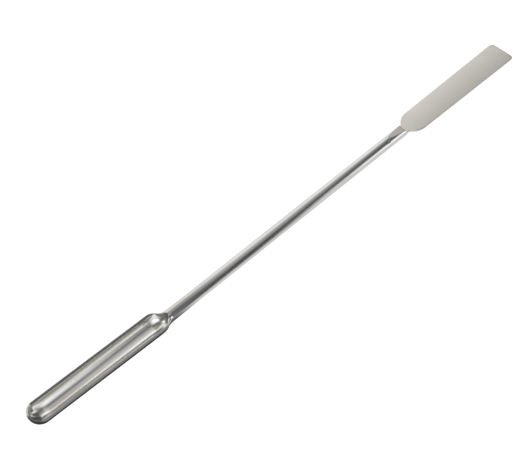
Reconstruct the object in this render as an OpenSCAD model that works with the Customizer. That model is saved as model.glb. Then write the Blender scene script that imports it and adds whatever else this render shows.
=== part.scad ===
// Double-ended laboratory spatula, forged from one length of round stainless bar.
// One end is a half-round trough scoop, the other a thin flat blade.
// Millimetres. The spatula lies on z = 0 on the flat along its underside, trough opening up.
// +X runs towards the blade, and the origin is under the middle of the length.

/* [Overall] */
// Length from the scoop's tip to the blade's end
overall_length = 210; // [170:1:300]

/* [Shank] */
// Diameter of the round bar
shank_d = 4; // [3:0.1:5]
// Width of the flat along the underside, on which the spatula rests
rest_width = 0.9; // [0.5:0.1:1.5]

/* [Scoop] */
// Outer width of the half-round trough
scoop_width = 8; // [6.6:0.1:10]
// Length of the trough from its tip to its heel
scoop_length = 48; // [30:1:60]
// Wall of the trough
scoop_wall = 0.8; // [0.5:0.05:1.2]
// Rise of the trough from its heel to its tip, in degrees
scoop_tilt = 2.5; // [0:0.5:6]

/* [Neck] */
// Radius of the outer shoulder where the trough narrows to the shank
neck_shoulder_r = 4; // [3:0.5:8]
// Radius of the hollow between that shoulder and the shank
neck_fillet_r = 1.5; // [1:0.25:4]
// Length over which the trough's hollow runs out onto the top of the shank
runout_length = 7; // [6:0.5:12]

/* [Blade] */
// Length of the blade from the start of its shoulders to its end
blade_length = 51.4; // [35:0.1:70]
// Width of the blade just past its shoulders
blade_root_width = 9; // [7:0.1:12]
// Width of the blade at its end
blade_end_width = 9.8; // [7:0.1:14]
// Thickness of the blade
blade_thickness = 1; // [0.6:0.05:1.6]
// Radius of the rounded edges of the blade
blade_edge_r = 0.25; // [0.1:0.05:0.3]
// Radius of the two corners at the blade's end
blade_corner_r = 1; // [0.5:0.1:2]
// Radius of the outer shoulders of the blade
shoulder_r = 7; // [4:0.5:9]
// Radius of the hollow between each shoulder and the shank
shoulder_fillet_r = 1.5; // [1:0.25:4]

/* [Ramp] */
// Length over which the shank is pressed flatter, above and below, towards the blade
taper_length = 6.5; // [3:0.5:15]
// Share of the shank's radius that is left where that taper ends
taper_share = 0.7; // [0.6:0.05:0.85]
// Radius of the nose where the tapered shank drops to the blade's face
nose_r = 0.55; // [0.4:0.05:1.2]
// Radius of the hollow between that nose and the blade's face
foot_r = 0.4; // [0.3:0.05:1.2]

/* [Hidden] */
$fn = 96;

shank_r = shank_d / 2;
scoop_r = scoop_width / 2;
hollow_r = scoop_r - scoop_wall;
scoop_straight = scoop_length - scoop_r;
blade_half_t = blade_thickness / 2;

// Slices along the neck, steps from its rim down to the flat, and steps in other arcs
neck_slices = 24;
neck_steps = 12;
arc_steps = 10;
edge_steps = 3;

// How far a joining face or edge lies inside the body it joins
seat = 0.01;
// How far outside or inside the shank's surface a step starts, so that it meets it at an angle
step_lift = 0.2;
// How far the shank's flattened end reaches along the blade, inside its plate
shank_lap = 1;
// How far the blade's plate reaches back inside the shank
blade_lap = 1;
// Clearance of a cutting body past the faces it cuts
over = 1;

// Height of the centre of a round bar or trough of radius r that rests on the flat
function centre_height(r) = sqrt(r * r - pow(rest_width / 2, 2));

// A step between two parallel lines, made of a hollow arc and then a shoulder arc, with an
// upright between them where the rise is greater than both: how far its arcs turn, its
// length, its points of distance and offset, and its offset at distance d from its start
function step_turn(rise, hollow, shoulder) = acos(1 - min(1, rise / (hollow + shoulder)));
function step_length(rise, hollow, shoulder) =
    (hollow + shoulder) * sin(step_turn(rise, hollow, shoulder));
function step_points(rise, hollow, shoulder) =
    let (turn = step_turn(rise, hollow, shoulder),
         run = step_length(rise, hollow, shoulder))
    concat(
        [for (i = [0:arc_steps])
            let (t = i * turn / arc_steps)
            hollow * [sin(t), 1 - cos(t)]],
        [for (i = [arc_steps - 1:-1:0])
            let (t = i * turn / arc_steps)
            [run, rise] - shoulder * [sin(t), 1 - cos(t)]]);
function step_offset(d, rise, hollow, shoulder) =
    let (run = step_length(rise, hollow, shoulder),
         change = run * hollow / (hollow + shoulder))
    d <= 0 ? 0
    : d < change ? hollow - sqrt(hollow * hollow - d * d)
    : d < run ? rise - shoulder + sqrt(shoulder * shoulder - pow(run - d, 2))
    : rise;

// Stations along the spatula, from the scoop to the blade
axis_z = centre_height(shank_r);
neck_rise = scoop_r - shank_r;
neck_length = step_length(neck_rise, neck_fillet_r, neck_shoulder_r);
tip_reach = scoop_straight * cos(scoop_tilt) + scoop_r - centre_height(scoop_r) * sin(scoop_tilt);
heel_x = tip_reach - overall_length / 2;
neck_x = heel_x + neck_length;
runout_x = heel_x + runout_length;
blade_end_x = overall_length / 2;
shoulder_x = blade_end_x - blade_length;
shoulder_rise = blade_root_width / 2 - shank_r + step_lift;
shoulder_length = step_length(shoulder_rise, shoulder_fillet_r, shoulder_r);
blade_root_x = shoulder_x + shoulder_length;
nose_drop = shank_r * taper_share - blade_half_t + seat;
nose_length = step_length(nose_drop, foot_r, nose_r);
nose_x = shoulder_x - nose_length;
taper_x = nose_x - taper_length;

// Closed skin through rings that run down one side and back up the other, so that points
// j and n - 1 - j of a ring face each other across the wall between them
module loft(rings) {
    n = len(rings[0]);
    top = n * (len(rings) - 1);
    sides = [for (i = [0:len(rings) - 2], j = [0:n - 1])
        let (a = i * n + j, b = i * n + (j + 1) % n)
        each [[a, b, b + n], [a, b + n, a + n]]];
    caps = [for (j = [0:n / 2 - 2])
        let (a = n - 1 - j, b = n - 2 - j)
        each [[j + 1, j, a], [j + 1, a, b],
              [top + j, top + j + 1, top + a], [top + j + 1, top + b, top + a]]];
    polyhedron([for (ring = rings) each ring], concat(sides, caps));
}

// Carries its children, drawn level from the heel towards -X, to the rising trough
module at_heel() {
    translate([heel_x, 0, 0]) rotate([0, scoop_tilt, 0]) children();
}

// Half-round wall of the trough, its underside on the first axis
module trough_section() {
    intersection() {
        translate([0, centre_height(scoop_r)]) difference() {
            circle(r = scoop_r);
            circle(r = hollow_r);
        }
        translate([-scoop_r - over, 0]) square([scoop_width + 2 * over, centre_height(scoop_r)]);
    }
}

// Straight half-round trough with a ball-shaped closed tip
module trough() {
    color([0.74, 0.74, 0.72]) at_heel() {
        rotate([90, 0, -90]) linear_extrude(height = scoop_straight) trough_section();
        translate([-scoop_straight, 0, 0]) rotate([0, 0, 90]) rotate_extrude(angle = 180)
            intersection() {
                trough_section();
                square(scoop_width);
            }
    }
}

// Section of the neck, a share of the way from the trough's heel out along the shank.
// Outside it is round below, on the flat, and its plan follows the step from trough to shank.
// On top it turns from the trough's rim and hollow into the round top of the shank.
function neck_ring(share) =
    let (x = heel_x + share * runout_length,
         grown = step_offset(neck_x - x, neck_rise, neck_fillet_r, neck_shoulder_r),
         lean = scoop_tilt * grown / neck_rise,
         r = shank_r + grown,
         hollow = r * (hollow_r + seat) / scoop_r,
         side = r - seat,
         middle = centre_height(r) - seat,
         round = share * share * (3 - 2 * share),
         flat_turn = asin(rest_width / 2 / r),
         turns = [for (i = [0:neck_steps]) 90 - i * (90 - flat_turn) / neck_steps],
         outside = [for (t = turns) [side * sin(t), middle - (side - seat) * cos(t)]],
         inside = [for (t = turns)
            (1 - round) * [hollow * sin(t), middle - hollow * cos(t)]
                + round * [side * sin(t), middle + r * cos(t)]],
         back = [neck_steps:-1:0])
    [for (p = concat(
            outside,
            [for (i = back) [-outside[i][0], outside[i][1]]],
            [for (p = inside) [-p[0], p[1]]],
            [for (i = back) inside[i]]))
        [x + p[1] * sin(lean), p[0], p[1] * cos(lean)]];

// Neck between the trough and the shank, its hollow running out onto the shank
module neck() {
    color([0.74, 0.74, 0.72])
        loft([for (i = [0:neck_slices]) neck_ring(i / neck_slices)]);
}

// Side outline of the shank: full height, then tapering, then stepping down to the blade
module ramp_side() {
    reach = shank_r + over;
    top_z = nose_drop + blade_half_t - seat;
    slope = (shank_r - top_z) / taper_length;
    steps = [for (p = step_points(nose_drop, foot_r, nose_r))
        [shoulder_x - p[0], blade_half_t - seat + p[1]]];
    upper = concat([[shoulder_x + shank_lap, blade_half_t - seat]], steps,
        [[taper_x - step_lift / slope, shank_r + step_lift], [runout_x - over, reach]]);
    lower = [for (i = [len(upper) - 1:-1:0]) [upper[i][0], max(-upper[i][1], -axis_z)]];
    polygon(concat(upper, lower));
}

// Round shank with the flat along its underside, pressed flatter where it meets the blade
module shank() {
    color([0.82, 0.82, 0.82]) translate([0, 0, axis_z]) intersection() {
        translate([runout_x, 0, 0]) rotate([0, 90, 0])
            cylinder(r = shank_r, h = shoulder_x + shank_lap - runout_x);
        rotate([90, 0, 0]) translate([0, 0, -shank_r - over])
            linear_extrude(height = shank_d + 2 * over) ramp_side();
    }
}

// One side of the blade's outline, from the corner at its end back into the shank,
// drawn in from the true outline by inset
function blade_half(inset) =
    let (shoulders = step_points(shoulder_rise, shoulder_fillet_r, shoulder_r),
         flare = (blade_end_width - blade_root_width) / 2 / (blade_end_x - blade_root_x),
         lean = atan(flare),
         corner_x = blade_end_x - blade_corner_r,
         corner_y = blade_root_width / 2 + flare * (corner_x - blade_root_x)
            - blade_corner_r / cos(lean))
    concat(
        [for (i = [0:arc_steps])
            let (t = i * (90 + lean) / arc_steps)
            [corner_x, corner_y] + (blade_corner_r - inset) * [cos(t), sin(t)]],
        [for (i = [2 * arc_steps:-1:0])
            [shoulder_x, shank_r - step_lift - inset] + shoulders[i]],
        [[shoulder_x - blade_lap, shank_r / 2]]);

// Outline of the blade at one height, its edge rounded by an arc of angle t
function blade_ring(t, side) =
    let (half = blade_half(blade_edge_r * (1 - cos(t))),
         z = axis_z + side * (blade_half_t - blade_edge_r * (1 - sin(t))))
    concat(
        [for (p = half) [p[0], p[1], z]],
        [for (i = [len(half) - 1:-1:0]) [half[i][0], -half[i][1], z]]);

// Flat blade, flaring a little to its square end, with rounded edges all round
module blade() {
    color([0.76, 0.75, 0.73]) loft(concat(
        [for (i = [edge_steps:-1:0]) blade_ring(i * 90 / edge_steps, 1)],
        [for (i = [0:edge_steps]) blade_ring(i * 90 / edge_steps, -1)]));
}

module spatula() {
    union() {
        trough();
        neck();
    }
    union() {
        shank();
        blade();
    }
}

spatula();
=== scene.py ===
"""Looks of a double-ended laboratory spatula: a half-round trough scoop, a round shank and a flat
blade, forged in one piece from stainless steel bar. Built in millimetres, in the row frame."""

import math

import bmesh
import bpy
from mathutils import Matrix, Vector


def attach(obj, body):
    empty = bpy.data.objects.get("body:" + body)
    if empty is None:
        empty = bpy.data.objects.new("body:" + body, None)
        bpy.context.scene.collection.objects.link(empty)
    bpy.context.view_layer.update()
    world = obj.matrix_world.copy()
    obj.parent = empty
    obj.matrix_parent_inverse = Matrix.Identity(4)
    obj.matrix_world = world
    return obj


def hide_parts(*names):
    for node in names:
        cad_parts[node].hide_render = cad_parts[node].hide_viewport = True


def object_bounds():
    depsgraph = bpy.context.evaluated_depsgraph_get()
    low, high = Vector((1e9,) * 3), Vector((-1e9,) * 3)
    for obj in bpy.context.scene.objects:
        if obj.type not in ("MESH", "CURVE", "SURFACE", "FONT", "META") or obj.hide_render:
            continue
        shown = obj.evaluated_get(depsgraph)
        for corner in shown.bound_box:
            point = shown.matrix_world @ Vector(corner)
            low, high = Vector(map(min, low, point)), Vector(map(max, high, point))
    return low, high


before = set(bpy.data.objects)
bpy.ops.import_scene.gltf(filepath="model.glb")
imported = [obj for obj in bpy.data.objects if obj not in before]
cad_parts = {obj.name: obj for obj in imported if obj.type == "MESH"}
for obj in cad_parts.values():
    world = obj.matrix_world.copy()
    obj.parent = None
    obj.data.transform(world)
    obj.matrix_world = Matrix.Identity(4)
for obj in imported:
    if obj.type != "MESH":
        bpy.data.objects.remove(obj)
cad_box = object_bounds()

MM = 0.001

# ---------------------------------------------------------------- sizes, in millimetres
LENGTH = 210.0
SHANK_R = 2.0
REST_HALF = 0.45  # half the width of the flat along the underside
SCOOP_R, HOLLOW_R = 4.0, 3.2
SCOOP_STRAIGHT = 44.0  # length of the trough without its ball-shaped tip
TILT = math.radians(2.5)  # rise of the trough towards its tip
LIP_OUTER_R, LIP_INNER_R = 0.25, 0.2  # rounding of the trough's rim, outside and inside
TIP_SLOPE = 6.2  # length over which the hollow rises, spoon-like, to the rim of the tip
NECK_RISE, NECK_FILLET_R, NECK_SHOULDER_R = SCOOP_R - SHANK_R, 6.0, 5.0
NECK = 8.0  # length of the neck from the trough's heel
HOLLOW_END = 5.2  # how far the round end of the trough's hollow reaches along it
HOLLOW_ROUND = 0.75  # how round that end is in plan, from 0 for square to 1 for a half ellipse
BLADE_END = LENGTH / 2
SHOULDER = BLADE_END - 51.4  # where the blade's shoulders start
START_HALF, ROOT_HALF, END_HALF = 1.8, 4.5, 4.9  # half the blade's width, there and onwards
LEAST_HALF = 1.9  # half the width that the blade's section never goes below
SHOULDER_FILLET_R, SHOULDER_R = 1.5, 7.0
BLADE_HALF_T = 0.5
BLADE_EDGE_R = 0.25
BLADE_CORNER_R = 1.5
# Past SHOULDER: where the shank's section turns into the blade's, and where the fall of the
# blade's faces to its edges is full.
PLATE_START, PLATE_FULL = -0.3, 1.1
CROWN, CROWN_REACH = 0.13, 9.0
TAPER, TAPER_END = 6.5, 1.4  # length of the pressed taper, and half its height at the nose
NOSE_R, FOOT_R = 0.55, 0.4


def centre_height(r):
    """Height of the centre of a round section that rests on the flat."""
    return math.sqrt(r * r - REST_HALF**2)


AXIS_Z = centre_height(SHANK_R)
SCOOP_Z = centre_height(SCOOP_R)
HEEL = SCOOP_STRAIGHT * math.cos(TILT) + SCOOP_R - SCOOP_Z * math.sin(TILT) - LENGTH / 2


def step_length(rise, hollow, shoulder):
    """Length of a step between two parallel lines, made of a hollow arc and a shoulder arc."""
    return math.sqrt(2 * rise * (hollow + shoulder) - rise * rise)


def step_offset(d, rise, hollow, shoulder):
    """Offset of that step at distance d from the start of its hollow."""
    run = step_length(rise, hollow, shoulder)
    turn = run * hollow / (hollow + shoulder)
    if d <= 0:
        return 0.0
    if d < turn:
        return hollow - math.sqrt(hollow * hollow - d * d)
    if d < run:
        return rise - shoulder + math.sqrt(shoulder * shoulder - (run - d) ** 2)
    return rise


def smooth(a, b, x):
    """0 before a, 1 after b, and smooth between them."""
    t = min(1.0, max(0.0, (x - a) / (b - a)))
    return t * t * (3 - 2 * t)


def band(a, b, c, d, x):
    """Rises from 0 to 1 between a and b, and falls back between c and d."""
    return smooth(a, b, x) * (1 - smooth(c, d, x))


def between(p, q, share):
    """The point a share of the way from p to q."""
    return tuple((1 - share) * u + share * v for u, v in zip(p, q))


# ---------------------------------------------------------------- half sections
# Each runs from the middle of the underside, up the outside, to the middle of the top side, as
# points (sideways, up). All have the same number of points, so that rings of them can be joined.
OUTER_STEPS, CORNER_STEPS, TOP_STEPS, INNER_STEPS = 22, 5, 2, 22
HALF_STEPS = 1 + OUTER_STEPS + 2 * CORNER_STEPS + TOP_STEPS + INNER_STEPS
FIRST_INSIDE = HALF_STEPS + 1 - INNER_STEPS  # number of the first point in the trough's hollow
UNDER_STEPS, SIDE_STEPS, UPRIGHT_STEPS = 12, 17, 5
OVER_STEPS = HALF_STEPS - UNDER_STEPS - 2 * SIDE_STEPS
LEAST = 0.0005  # how much lower than the round bar a pressed top stays, to keep a width


def arc(cx, cy, r, start, end, steps, first=0):
    """Points on an arc, from angle start to end in degrees, without those before first."""
    turns = [math.radians(start + (end - start) * i / steps) for i in range(first, steps + 1)]
    return [(cx + r * math.cos(t), cy + r * math.sin(t)) for t in turns]


def trough_half(r=SCOOP_R, hollow=HOLLOW_R):
    """Half-round wall with its underside on the flat and a rounded rim."""
    c = centre_height(r)
    scale = r / SCOOP_R
    ro, ri = LIP_OUTER_R * scale, LIP_INNER_R * scale
    flat = math.degrees(math.asin(REST_HALF / r))
    rim_out = math.degrees(math.asin(ro / r))
    rim_in = math.degrees(math.asin(ri / hollow))
    points = [(0.0, 0.0)]
    points += arc(0, c, r, flat - 90, -rim_out, OUTER_STEPS)
    points += arc(r - ro, c - ro, ro, 0, 90, CORNER_STEPS, 1)
    a, b = r - ro, hollow + ri
    points += [(a + (b - a) * i / TOP_STEPS, c) for i in range(1, TOP_STEPS + 1)]
    points += arc(hollow + ri, c - ri, ri, 90, 180, CORNER_STEPS, 1)
    points += arc(0, c, hollow, -rim_in, -90, INNER_STEPS, 1)
    return points


def round_half(r=SHANK_R):
    """Round bar with the flat along its underside, its upper half scaled to the shank's top."""
    c = centre_height(r)
    top = AXIS_Z + SHANK_R
    flat = math.degrees(math.asin(REST_HALF / r))
    rim_out = math.degrees(math.asin(LIP_OUTER_R / SCOOP_R))
    points = [(0.0, 0.0)]
    points += arc(0, c, r, flat - 90, -rim_out, OUTER_STEPS)
    upper = arc(0, c, r, -rim_out, 90, HALF_STEPS - OUTER_STEPS - 1, 1)
    return points + [(y, c + (z - c) * (top - c) / r if z > c else z) for y, z in upper]


def pressed_half(half_t):
    """The round bar pressed to half_t above and below its axis."""
    def side(height):
        return math.sqrt(max(SHANK_R**2 - height**2, 0.0))

    low = min(half_t, AXIS_Z)
    high = min(half_t, SHANK_R - LEAST)
    foot, top = math.degrees(math.asin(low / SHANK_R)), math.degrees(math.asin(high / SHANK_R))
    points = [(side(low) * i / UNDER_STEPS, AXIS_Z - low) for i in range(UNDER_STEPS)]
    points += arc(0, AXIS_Z, SHANK_R, -foot, 0, SIDE_STEPS)
    points += arc(0, AXIS_Z, SHANK_R, 0, top, SIDE_STEPS, 1)
    points += [(side(high) * (1 - i / OVER_STEPS), AXIS_Z + high)
               for i in range(1, OVER_STEPS + 1)]
    return points


def blade_section(half_w, half_t, crown, edge):
    """Plate with crowned faces and rounded edges."""
    def face(y):
        return half_t - crown * (y / half_w) ** 2

    flat = half_w - edge
    corner = face(flat)
    rounded = min(edge, corner)
    turn = SIDE_STEPS - UPRIGHT_STEPS
    side = [(flat + edge * math.sin(t), corner - rounded + rounded * math.cos(t))
            for t in (math.pi / 2 * i / turn for i in range(turn + 1))]
    side += [(half_w, (corner - rounded) * (1 - i / UPRIGHT_STEPS))
             for i in range(1, UPRIGHT_STEPS + 1)]
    upper = [(flat * i / OVER_STEPS, face(flat * i / OVER_STEPS)) for i in range(OVER_STEPS)]
    lower = [(flat * i / UNDER_STEPS, face(flat * i / UNDER_STEPS)) for i in range(UNDER_STEPS)]
    points = [(y, AXIS_Z - z) for y, z in lower + side]
    points += [(y, AXIS_Z + z) for y, z in reversed(upper + side[:-1])]
    return points


# ---------------------------------------------------------------- mesh
NEAR_RIM_SHADE, FAR_RIM_SHADE = 0.75, 1.0  # how much painted shade, with added roughness, the rim takes on each side
# Points of the half section over which painted shade, with added roughness, grows on the outside
# towards the rim, and over which the painted shade inside the tip grows less towards the bottom.
OUTSIDE_FADE = (OUTER_STEPS - 10, OUTER_STEPS - 5)
INSIDE_FADE = (FIRST_INSIDE + 16, FIRST_INSIDE + 30)
# Degrees round the tip, from its near side, where painted shade comes in and ends, and where a
# part kept free of painted shade comes in and ends.
SHADED_TURNS = (0, 40, 100, 120)
UNSHADED_TURNS = (95, 115, 160, 176)
LONG_STEPS, TURN_STEP = 45, 3  # steps along the trough, and degrees between rows round its tip
MERGE, COLLAPSE = 0.0004 * MM, 0.0001 * MM  # distances at which vertices and edges close up

body = bmesh.new()
# This mesh attribute holds painted shade: how far the steel is darkened, and roughened, at the
# trough's rim, its outside, its tip and the neck's hollow.
rim_layer = body.verts.layers.float.new("rim")


def vertex(x, y, z, rim):
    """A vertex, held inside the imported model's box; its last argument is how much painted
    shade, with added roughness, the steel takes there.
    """
    made = body.verts.new([min(max(v * MM, low), high)
                           for v, low, high in zip((x, y, z), cad_box[0], cad_box[1])])
    made[rim_layer] = rim
    return made


def on_rim(j, near):
    """How much painted shade, with added roughness, the trough takes at point j of a half
    section: its rim and its outside above.
    """
    if j <= OUTER_STEPS + 1:
        return smooth(*OUTSIDE_FADE, j)
    if j >= FIRST_INSIDE:
        return 0.0
    return NEAR_RIM_SHADE if near else FAR_RIM_SHADE


def on_tip(j, turn):
    """How much painted shade, with added roughness, the trough takes at point j, turn degrees
    round its tip from the near side.
    """
    rim = on_rim(j, turn < 90)
    tip_shade = band(*SHADED_TURNS, turn)
    if j >= FIRST_INSIDE:
        tip_shade *= 1 - smooth(*INSIDE_FADE, j)
    elif rim == 0:
        tip_shade = 0.0
    return max(rim, tip_shade) * (1 - band(*UNSHADED_TURNS, turn))


def tilted(along, y, z):
    """A point of the trough, along from its heel towards the blade, carried to its rise."""
    return (HEEL + along * math.cos(TILT) + z * math.sin(TILT), y,
            z * math.cos(TILT) - along * math.sin(TILT))


def skin(rows, closed=False):
    """Quads between rows of vertices; closed rows run round."""
    for a, b in zip(rows, rows[1:]):
        count = len(a)
        for j in range(count if closed else count - 1):
            k = (j + 1) % count
            body.faces.new((a[j], a[k], b[k], b[j]))


def spooned(along, depth):
    """Depth of the hollow where it rises to the tip, from its depth with a ball-shaped end."""
    past = along - SCOOP_STRAIGHT
    start = HOLLOW_R - TIP_SLOPE
    if past <= start:
        return depth
    left = math.sqrt(max(1 - ((past - start) / TIP_SLOPE) ** 2, 0.0))
    width = math.sqrt(max(HOLLOW_R**2 - max(past, 0.0) ** 2, 1e-9))
    return depth * left * HOLLOW_R / width


def trough():
    """The half section is swept up one side, round the ball-shaped tip, and back."""
    half = trough_half()
    straight = [SCOOP_STRAIGHT * i / LONG_STEPS for i in range(LONG_STEPS)]
    places = [(start, 0) for start in straight]
    places += [(SCOOP_STRAIGHT, turn) for turn in range(0, 181, TURN_STEP)]
    places += [(start, 180) for start in reversed(straight)]
    rows = []
    for start, turn in places:
        row = []
        for j, (y, z) in enumerate(half):
            along = start + y * math.sin(math.radians(turn))
            if j >= FIRST_INSIDE:
                z = SCOOP_Z - spooned(along, SCOOP_Z - z)
            across = -y * math.cos(math.radians(turn))
            row.append(vertex(*tilted(-along, across, z), on_tip(j, turn)))
        rows.append(row)
    skin(rows)


def neck_half(x):
    """Section of the neck at x, and how far it leans with the trough."""
    neck_x = HEEL + step_length(NECK_RISE, NECK_FILLET_R, NECK_SHOULDER_R)
    grown = step_offset(neck_x - x, NECK_RISE, NECK_FILLET_R, NECK_SHOULDER_R)
    r = SHANK_R + grown
    hollow = HOLLOW_R * r / SCOOP_R
    half = []
    for p, q in zip(trough_half(r, hollow), round_half(r)):
        reach = HOLLOW_END * math.sqrt(1 - HOLLOW_ROUND * min(1.0, p[0] / hollow) ** 2)
        share = min(1.0, (x - HEEL) / reach)
        half.append(between(p, q, 1 - math.sqrt(1 - share * share)))
    return half, TILT * grown / NECK_RISE


def blade_half_width(x):
    """Half the blade's width at x."""
    flare = ROOT_HALF - START_HALF
    root = SHOULDER + step_length(flare, SHOULDER_FILLET_R, SHOULDER_R)
    if x < root:
        width = START_HALF + step_offset(x - SHOULDER, flare, SHOULDER_FILLET_R, SHOULDER_R)
    else:
        width = ROOT_HALF + (END_HALF - ROOT_HALF) * (x - root) / (BLADE_END - root)
    corner = x - (BLADE_END - BLADE_CORNER_R)
    if corner > 0:
        width -= BLADE_CORNER_R - math.sqrt(max(BLADE_CORNER_R**2 - corner**2, 0.0))
    return width


def blade_half(x):
    """Section from the pressed shank into the blade at x."""
    drop = TAPER_END - BLADE_HALF_T
    nose = SHOULDER - step_length(drop, FOOT_R, NOSE_R)
    if x < nose:
        half_t = TAPER_END + (nose - x) / TAPER * (SHANK_R - TAPER_END)
    else:
        half_t = BLADE_HALF_T + step_offset(SHOULDER - x, drop, FOOT_R, NOSE_R)
    pressed = pressed_half(half_t)
    into_end = x - (BLADE_END - BLADE_EDGE_R)
    cut = BLADE_EDGE_R - math.sqrt(max(BLADE_EDGE_R**2 - max(into_end, 0.0) ** 2, 0.0))
    past = x - SHOULDER
    plate = blade_section(max(blade_half_width(x), LEAST_HALF), half_t - cut,
                          CROWN * smooth(0, CROWN_REACH, past), BLADE_EDGE_R)
    share = smooth(PLATE_START, PLATE_FULL, past)
    return [between(p, q, share) for p, q in zip(pressed, plate)]


def stations(*spans):
    """Positions along the piece, as (start, end, steps) one after another."""
    found = []
    for start, end, steps in spans:
        found += [start + (end - start) * i / steps for i in range(steps)]
    return found + [spans[-1][1]]


def ring(half, x, lean=0.0, rim=0.0):
    """Both sides of a half section, as one closed row; the last argument is how much of the
    painted rim shade it takes.
    """
    near = [(-y, z, rim * on_rim(j, True)) for j, (y, z) in enumerate(half)]
    far = [(y, z, rim * on_rim(j, False)) for j, (y, z) in list(enumerate(half))[-2:0:-1]]
    return [vertex(x + z * math.sin(lean), y, z * math.cos(lean), shade_and_dull)
            for y, z, shade_and_dull in near + far]


def bar():
    """Neck, shank and blade, one closed row after another. The rows stand closest where the
    section changes fast."""
    rows = []
    for x in stations((HEEL, HEEL + NECK, 84)):
        half, lean = neck_half(x)
        # The painted rim shade fades out over the neck's hollow.
        rows.append(ring(half, x, lean, 1 - smooth(HEEL, HEEL + HOLLOW_END, x)))
    taper_x = SHOULDER - step_length(TAPER_END - BLADE_HALF_T, FOOT_R, NOSE_R) - TAPER
    for x in stations((HEEL + NECK + 1, taper_x - 0.5, 48)):
        rows.append(ring(round_half(), x))
    nose, root, flank = taper_x + TAPER, SHOULDER + 1.6, SHOULDER + 10
    corner, edge = BLADE_END - 1, BLADE_END - BLADE_EDGE_R
    for x in stations((taper_x, nose, 26), (nose, root, 44), (root, flank, 34),
                      (flank, corner, 40), (corner, edge, 8), (edge, BLADE_END, 8)):
        rows.append(ring(blade_half(x), x))
    skin(rows, closed=True)
    body.faces.new(rows[-1])


trough()
bar()
bmesh.ops.remove_doubles(body, verts=body.verts, dist=MERGE)
bmesh.ops.dissolve_degenerate(body, edges=body.edges, dist=COLLAPSE)
bmesh.ops.recalc_face_normals(body, faces=body.faces)
mesh = bpy.data.meshes.new("spatula_skin")
body.to_mesh(mesh)
body.free()
spatula = bpy.data.objects.new("spatula_skin", mesh)
bpy.context.scene.collection.objects.link(spatula)


# ---------------------------------------------------------------- shader nodes
def fill(tree, node, values):
    """Sets a node's inputs, by name or number, and links those whose value is a socket."""
    for key, value in values.items():
        if isinstance(value, bpy.types.NodeSocket):
            tree.links.new(value, node.inputs[key])
        else:
            node.inputs[key].default_value = value
    return node


def fed(tree, kind, values):
    """A new node with its inputs filled."""
    return fill(tree, tree.nodes.new(kind), values)


def calculated(tree, operation, *values, kind="ShaderNodeMath"):
    """The node that works out a sum of sockets and plain values."""
    made = tree.nodes.new(kind)
    made.operation = operation
    return fill(tree, made, dict(enumerate(values)))


def spanned(tree, value, source, target=(0.0, 1.0), interpolation="LINEAR"):
    """The value carried from one range to another, and held at its ends."""
    made = fed(tree, "ShaderNodeMapRange", {
        "Value": value, "From Min": source[0], "From Max": source[1],
        "To Min": target[0], "To Max": target[1]})
    made.interpolation_type = interpolation
    return made.outputs["Result"]


def blended(tree, share, first, second):
    """A colour that goes from first to second as share goes from 0 to 1."""
    made = tree.nodes.new("ShaderNodeMix")
    made.data_type = "RGBA"
    return fill(tree, made, {0: share, 6: first, 7: second}).outputs[2]


def ramped(tree, value, stops):
    """The colour at a value, between stops of (position, colour) in order."""
    made = fed(tree, "ShaderNodeValToRGB", {"Fac": value})
    elements = made.color_ramp.elements
    elements.remove(elements[-1])
    for number, (position, colour) in enumerate(stops):
        stop = elements.new(position) if number else elements[0]
        stop.position = position
        stop.color = (*colour, 1)
    return made.outputs["Color"]


def split(tree, vector):
    """The outputs X, Y and Z of a vector."""
    return fed(tree, "ShaderNodeSeparateXYZ", {0: vector}).outputs


def shading(owner):
    """The node tree of a new material or world."""
    owner.use_nodes = True
    return owner.node_tree


# ---------------------------------------------------------------- steel
GRAIN_STRETCH, GRAIN_SIZE, GRAIN_DETAIL = (40, 2600, 2600), 3.0, 4.0  # lines along the piece
PATCH_STRETCH, PATCH_SIZE, PATCH_DETAIL = (1, 1, 1), 90.0, 3.0
NOISE_SPAN = (0.3, 0.7)  # what both noises mostly lie between
TONE_CHANGE = 0.04
PATCH_GLOSS, GRAIN_GLOSS = 0.015, 0.02
GRAIN_DEPTH, GRAIN_HEIGHT = 0.006, 0.0001
# Painted shade laid on the trough's rim, outside and tip: its dark colour, and the roughness
# added there.
RIM_SHADE_COLOUR, RIM_ROUGHNESS = (0.2, 0.2, 0.2, 1), 0.3


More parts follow.
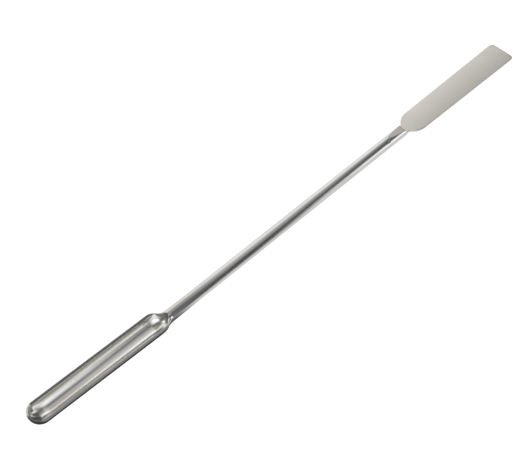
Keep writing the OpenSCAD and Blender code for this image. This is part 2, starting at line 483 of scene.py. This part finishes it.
def steel(name, colour, roughness, rimmed=False):
    """Bare stainless steel: fine polishing grain, and slow changes of tone and gloss. Where the
    mesh's painted-shade attribute says so, it takes painted shade, a darker colour, and grows
    rougher."""
    material = bpy.data.materials.new(name)
    tree = shading(material)
    where = tree.nodes.new("ShaderNodeTexCoord").outputs["Object"]

    def noise(stretch, size, detail):
        place = fed(tree, "ShaderNodeMapping", {"Vector": where, "Scale": stretch}).outputs[0]
        made = {"Vector": place, "Scale": size, "Detail": detail}
        return fed(tree, "ShaderNodeTexNoise", made).outputs["Fac"]

    fine = noise(GRAIN_STRETCH, GRAIN_SIZE, GRAIN_DETAIL)
    broad = noise(PATCH_STRETCH, PATCH_SIZE, PATCH_DETAIL)
    tone = spanned(tree, broad, NOISE_SPAN, (1 - TONE_CHANGE, 1 + TONE_CHANGE))
    finish = fed(tree, "ShaderNodeHueSaturation", {"Color": (*colour, 1), "Value": tone})
    finish = finish.outputs["Color"]
    gloss = calculated(
        tree, "ADD", spanned(tree, fine, NOISE_SPAN, (-GRAIN_GLOSS, GRAIN_GLOSS)),
        spanned(tree, broad, NOISE_SPAN, (roughness - PATCH_GLOSS, roughness + PATCH_GLOSS)))
    if rimmed:
        # Painted shade: the attribute darkens the colour towards the dark rim colour, and adds
        # roughness.
        edge = tree.nodes.new("ShaderNodeAttribute")
        edge.attribute_name = "rim"
        shade_and_dull = edge.outputs["Fac"]
        finish = blended(tree, shade_and_dull, finish, RIM_SHADE_COLOUR)
        gloss = calculated(tree, "MULTIPLY_ADD", shade_and_dull, RIM_ROUGHNESS, gloss.outputs["Value"])
    bump = fed(tree, "ShaderNodeBump",
               {"Strength": GRAIN_DEPTH, "Distance": GRAIN_HEIGHT, "Height": fine})
    fill(tree, tree.nodes["Principled BSDF"], {
        "Metallic": 1.0, "Base Color": finish, "Roughness": gloss.outputs["Value"],
        "Normal": bump.outputs["Normal"]})
    return material


TROUGH, SHANK, BLADE = range(3)
TROUGH_END = HEEL + 4.5  # where the neck takes the shank's finish
FLAT_LEAN = 0.1  # largest sideways part of the normal of a face that counts as pressed flat
# The trough's steel is paler than the shank's: partly its polish, partly painted light that
# brightens its reflections. This material also carries the painted rim shade.
mesh.materials.append(steel("polished_trough_painted_light", (0.85, 0.838, 0.812), 0.17, rimmed=True))
mesh.materials.append(steel("drawn_shank", (0.57, 0.565, 0.56), 0.13))
mesh.materials.append(steel("ground_blade", (0.735, 0.705, 0.655), 0.26))
for polygon in mesh.polygons:
    polygon.use_smooth = True
    x = polygon.center.x / MM
    pressed = x > SHOULDER - TAPER and abs(polygon.normal.y) < FLAT_LEAN
    if x < TROUGH_END:
        polygon.material_index = TROUGH
    else:
        polygon.material_index = BLADE if pressed or x > SHOULDER + PLATE_START else SHANK

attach(spatula, "root")
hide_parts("spatula")

# ---------------------------------------------------------------- floor
FLOOR_SIDE = 8  # metres
PAPER_GLOW = 0.86  # full brightness of the paper in what the steel reflects
bpy.ops.mesh.primitive_plane_add(size=FLOOR_SIDE)
floor = bpy.context.object
floor.name = "floor"
paper = bpy.data.materials.new("paper")
floor.data.materials.append(paper)
paper_tree = shading(paper)
spot = paper_tree.nodes.new("ShaderNodeTexCoord").outputs["Object"]


def moved(operation, *values):
    """A vector sum on the floor's material."""
    return calculated(paper_tree, operation, *values, kind="ShaderNodeVectorMath").outputs


def lit_outside(centre, half, start, end, low):
    """Painted shadow in the paper's glow: low in a box, and full beyond a soft edge round it. The
    edge runs from start to end, in metres away from the box."""
    offset = moved("ABSOLUTE", moved("SUBTRACT", spot, centre)["Vector"])["Vector"]
    outside = moved("MAXIMUM", moved("SUBTRACT", offset, half)["Vector"], (0.0, 0.0, 0.0))
    away = moved("LENGTH", outside["Vector"])["Value"]
    return spanned(paper_tree, away, (start, end), (low, PAPER_GLOW), "SMOOTHSTEP")


# For what the steel reflects, the paper's glow holds a painted shadow close round the trough, and
# painted shade away on the near side; the camera sees its full glow.
trough_painted_shadow = lit_outside((-0.0925, -0.012, 0.0), (0.0375, 0.016, 1.0), 0.004, 0.016, 0.03)
near_painted_shade = lit_outside((-0.15, -0.518, 0.0), (0.16, 0.5, 1.0), 0.0, 0.01, 0.12)
painted_shadow_glow = calculated(paper_tree, "MINIMUM", trough_painted_shadow, near_painted_shade).outputs["Value"]
direct = paper_tree.nodes.new("ShaderNodeLightPath").outputs["Is Camera Ray"]
lit = calculated(paper_tree, "MAXIMUM", direct, painted_shadow_glow).outputs["Value"]
fill(paper_tree, paper_tree.nodes["Principled BSDF"], {
    "Base Color": (0.3, 0.3, 0.3, 1), "Roughness": 1.0, "Specular IOR Level": 0.0,
    "Emission Color": (1, 1, 1, 1), "Emission Strength": lit})

# ---------------------------------------------------------------- softbox
# It stands low down on the near side, and only the trough mirrors it. Its right-hand edge slants
# away as it rises, and it is brighter to the left and lower down.
BOX_LEFT, BOX_Y, BOX_LOW, BOX_TOP = -0.16, -0.16, 0.005, 0.33
EDGE_X, SLANT = 0.008, 0.31  # its right-hand edge at the floor, and how far it goes per height
# Its brightness by how far right a point lies. Higher up, that slants with the edge.
FADE = {-0.1: 1.5, -0.063: 1.24, -0.05: 1.04, -0.037: 0.74, -0.027: 0.61, -0.018: 0.43,
        -0.01: 0.25}
FADE_START, FADE_END = -0.1, 0.01
FULL_BELOW, FOOT_STRENGTH, TOP_STRENGTH = 0.092, 2.0, 0.6  # and by height
CLOTH = (0.49, 0.5, 0.51)
softbox_mesh = bpy.data.meshes.new("softbox")
softbox_mesh.from_pydata(
    [(BOX_LEFT, BOX_Y, BOX_LOW), (EDGE_X + SLANT * BOX_LOW, BOX_Y, BOX_LOW),
     (EDGE_X + SLANT * BOX_TOP, BOX_Y, BOX_TOP), (BOX_LEFT, BOX_Y, BOX_TOP)], [], [(0, 1, 2, 3)])
softbox = bpy.data.objects.new("softbox", softbox_mesh)
bpy.context.scene.collection.objects.link(softbox)
softbox.visible_camera = False
cloth = bpy.data.materials.new("softbox")
softbox_mesh.materials.append(cloth)
tree = shading(cloth)
tree.nodes.remove(tree.nodes["Principled BSDF"])
where = split(tree, tree.nodes.new("ShaderNodeTexCoord").outputs["Object"])
slid = calculated(tree, "MULTIPLY_ADD", where["Z"], -SLANT, where["X"]).outputs["Value"]
across = spanned(tree, slid, (FADE_START, FADE_END))
fall = ramped(tree, across, [((at - FADE_START) / (FADE_END - FADE_START),
                              [part * value for part in CLOTH]) for at, value in FADE.items()])
rise = spanned(tree, where["Z"], (FULL_BELOW, BOX_TOP), (FOOT_STRENGTH, TOP_STRENGTH))
lamp = fed(tree, "ShaderNodeEmission", {"Color": fall, "Strength": rise})
fill(tree, tree.nodes["Material Output"], {"Surface": lamp.outputs[0]})

# ---------------------------------------------------------------- light from all round
# Bright behind the piece, dim on the near side low down. Each row is the brightness at angles
# from straight up, towards +Y (positive) or -Y, for directions that lean that far towards +X.
ANGLES = [-180, -92, -86, -77, -64, -53, -41, -30, -18, -6, 5, 18, 30, 44, 59, 77, 92, 180]
FOR_TROUGH = [1.0, 1.0, 0.18, 0.14, 0.12, 0.16, 0.22, 0.23, 0.12, 0.20, 0.46, 0.34, 0.30, 0.80,
              1.1, 1.05, 1.2, 1.1]
SIDES = {
    -0.7: [1.0, 1.0, 0.12, 0.09, 0.10, 0.12, 0.15, 0.18, 0.20, 0.22, 0.24, 0.24, 0.22, 0.22,
           0.24, 0.4, 1.0, 1.0],
    -0.42: [1.0, 1.0, 0.2, 0.12, 0.12, 0.14, 0.16, 0.18, 0.2, 0.4, 1.0, 1.4, 1.4, 1.2, 1.0,
            1.1, 1.2, 1.1],
    -0.15: [1.0, 1.0, 0.3, 0.2, 0.2, 0.2, 0.2, 0.2, 0.2, 0.2, 0.22, 0.26, 0.4, 0.9, 1.2, 1.3,
            1.2, 1.1],
    0.1: [1.0, 1.0, 0.5, 0.4, 0.35, 0.3, 0.25, 0.2, 0.18, 0.17, 0.18, 0.24, 0.5, 1.0, 1.3, 1.3,
          1.2, 1.1],
    0.27: FOR_TROUGH,
    0.385: FOR_TROUGH,
    0.43: [1.0, 1.0, 0.08, 0.04, 0.03, 0.07, 0.165, 0.36, 0.60, 0.77, 0.77, 0.87, 1.25, 1.45,
           1.40, 1.30, 1.2, 1.1],
    0.485: [1.0, 1.0, 0.30, 0.20, 0.14, 0.095, 0.11, 0.175, 0.31, 0.41, 0.50, 0.67, 0.99, 1.22,
            1.25, 1.27, 1.2, 1.1],
    0.53: [1.0, 1.0, 1.9, 2.1, 1.5, 0.56, 0.21, 0.137, 0.155, 0.22, 0.345, 0.50, 0.79, 1.13,
           1.36, 1.35, 1.2, 1.1],
    0.62: [1.0, 1.0, 1.9, 2.1, 1.5, 0.56, 0.20, 0.12, 0.12, 0.18, 0.30, 0.50, 0.84, 1.08,
           1.36, 1.35, 1.2, 1.1],
    0.75: [1.0, 1.0, 0.3, 0.10, 0.10, 0.30, 1.2, 0.9, 0.15, 0.10, 0.10, 0.10, 0.12, 0.13,
           0.15, 0.20, 0.3, 1.1],
}
WARM, WARM_TO = 0.08, 70  # tint of the trough's rows, and the angle up to which it reaches
STRENGTH = 2.0  # the background multiplies by this, and the ramps hold the rows divided by it


def glowing(angle, value, tinted):
    """The stop of a row at an angle: its position, and its colour. A warm one has less blue,
    and a third as much more red."""
    warm = WARM if tinted and 0 < angle < WARM_TO else 0.0
    return (angle + 180) / 360, [value / STRENGTH * part for part in (1 + warm / 3, 1, 1 - warm)]


world = bpy.data.worlds.new("studio")
bpy.context.scene.world = world
tree = shading(world)
towards = split(tree, tree.nodes.new("ShaderNodeTexCoord").outputs["Generated"])
turned = calculated(tree, "ARCTAN2", towards["Y"], towards["Z"]).outputs["Value"]
place = spanned(tree, turned, (-math.pi, math.pi))
shade = before = None
for lean, values in SIDES.items():
    row = ramped(tree, place, [glowing(angle, value, values is FOR_TROUGH)
                               for angle, value in zip(ANGLES, values)])
    if before is None:
        shade = row
    else:
        shade = blended(tree, spanned(tree, towards["X"], (before, lean)), shade, row)
    before = lean
direct = tree.nodes.new("ShaderNodeLightPath").outputs["Is Camera Ray"]
seen = blended(tree, direct, shade, (1 / STRENGTH, 1 / STRENGTH, 1 / STRENGTH, 1))
fill(tree, tree.nodes["Background"], {"Color": seen, "Strength": STRENGTH})

# ---------------------------------------------------------------- camera
camera = bpy.data.objects.new("camera", bpy.data.cameras.new("camera"))
bpy.context.scene.collection.objects.link(camera)
bpy.context.scene.camera = camera
back = Vector((-0.4543, -0.4433, 0.7727)).normalized()  # from the spatula to the camera
aim, distance = Vector((-8.84 * MM, 2.67 * MM, AXIS_Z * MM)), 0.485
camera.location = aim + back * distance
camera.rotation_mode = "QUATERNION"
camera.rotation_quaternion = (-back).to_track_quat("-Z", "Y")
camera.data.sensor_width = 36
camera.data.lens = 107.4
camera.data.clip_start, camera.data.clip_end = 0.01, 20
bpy.context.scene.view_settings.view_transform = "Standard"
